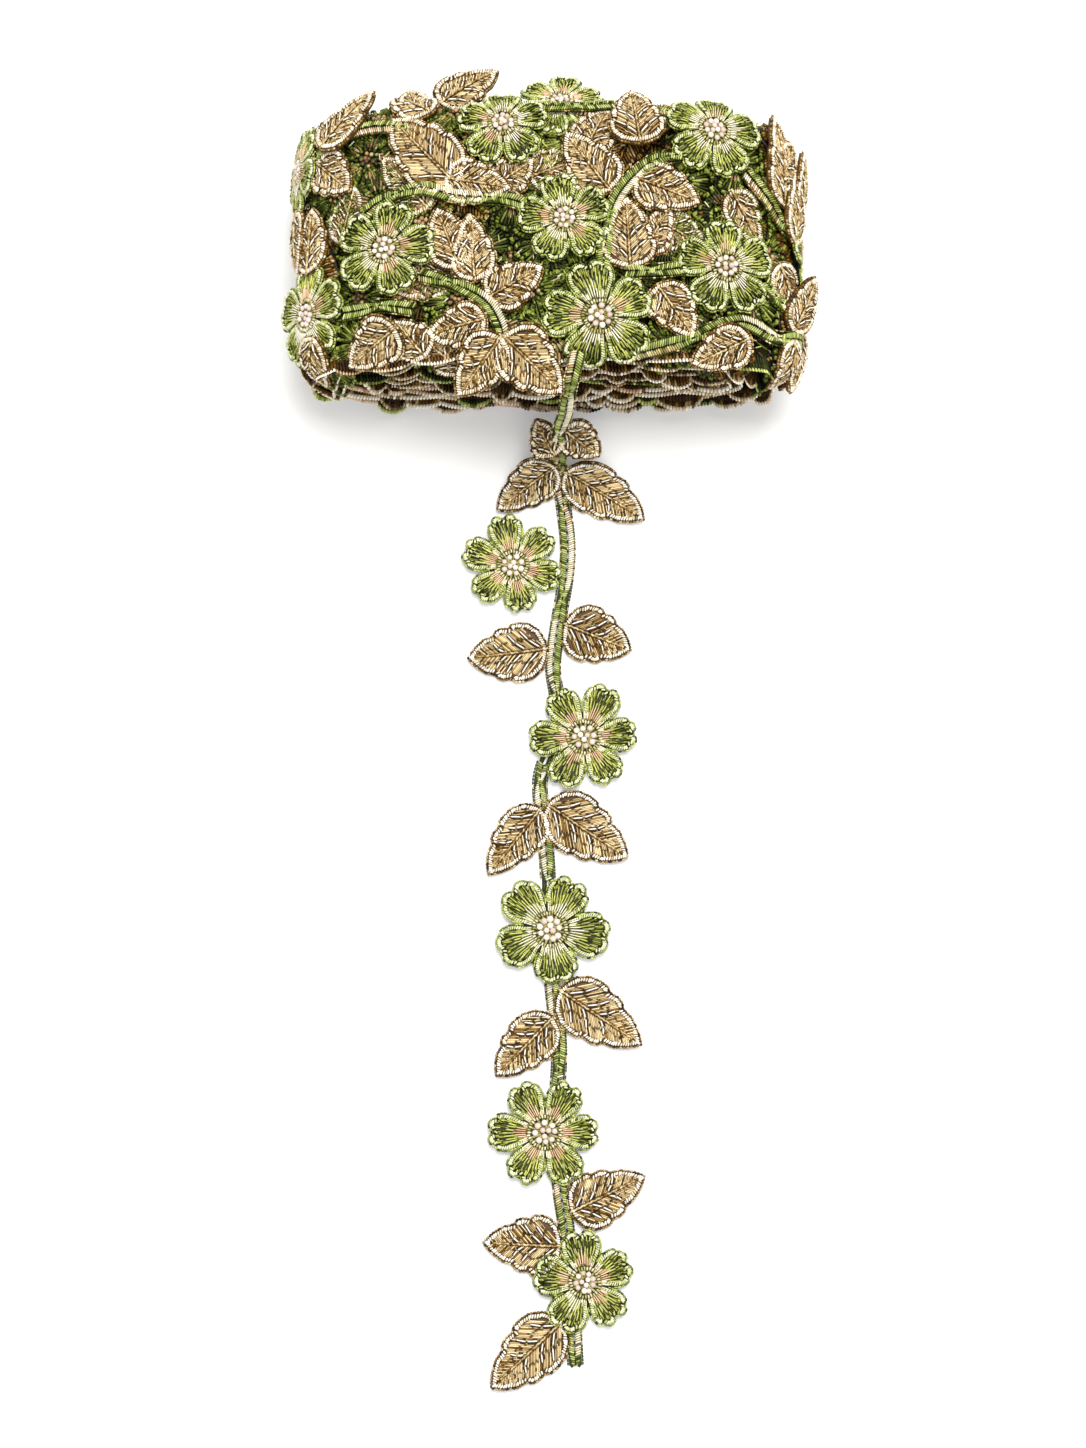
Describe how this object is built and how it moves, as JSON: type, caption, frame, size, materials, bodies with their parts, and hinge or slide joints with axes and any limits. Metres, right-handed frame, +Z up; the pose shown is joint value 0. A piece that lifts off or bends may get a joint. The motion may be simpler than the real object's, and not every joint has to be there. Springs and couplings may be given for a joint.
{
  "type": "wound embroidered lace trim",
  "caption": "Embroidered flower-and-leaf lace trim wound into a flat oval roll, with a long loose end lying out in front of it.",
  "frame": {"origin": "middle of the footprint, on the surface that the trim lies on", "axes": "+Z up; +Y from the loose end towards the roll, along the axis that the roll is wound round; +X across the trim"},
  "size_m": [0.1256, 0.3132, 0.0489],
  "materials": {
    "green_thread": "satin embroidery thread in greens, ivory and gold",
    "leaf_thread": "satin embroidery thread in greens, ivory and gold"
  },
  "bodies": {
    "root": {"wound_roll": "green_thread", "loose_end": "leaf_thread"}
  },
  "joints": []
}
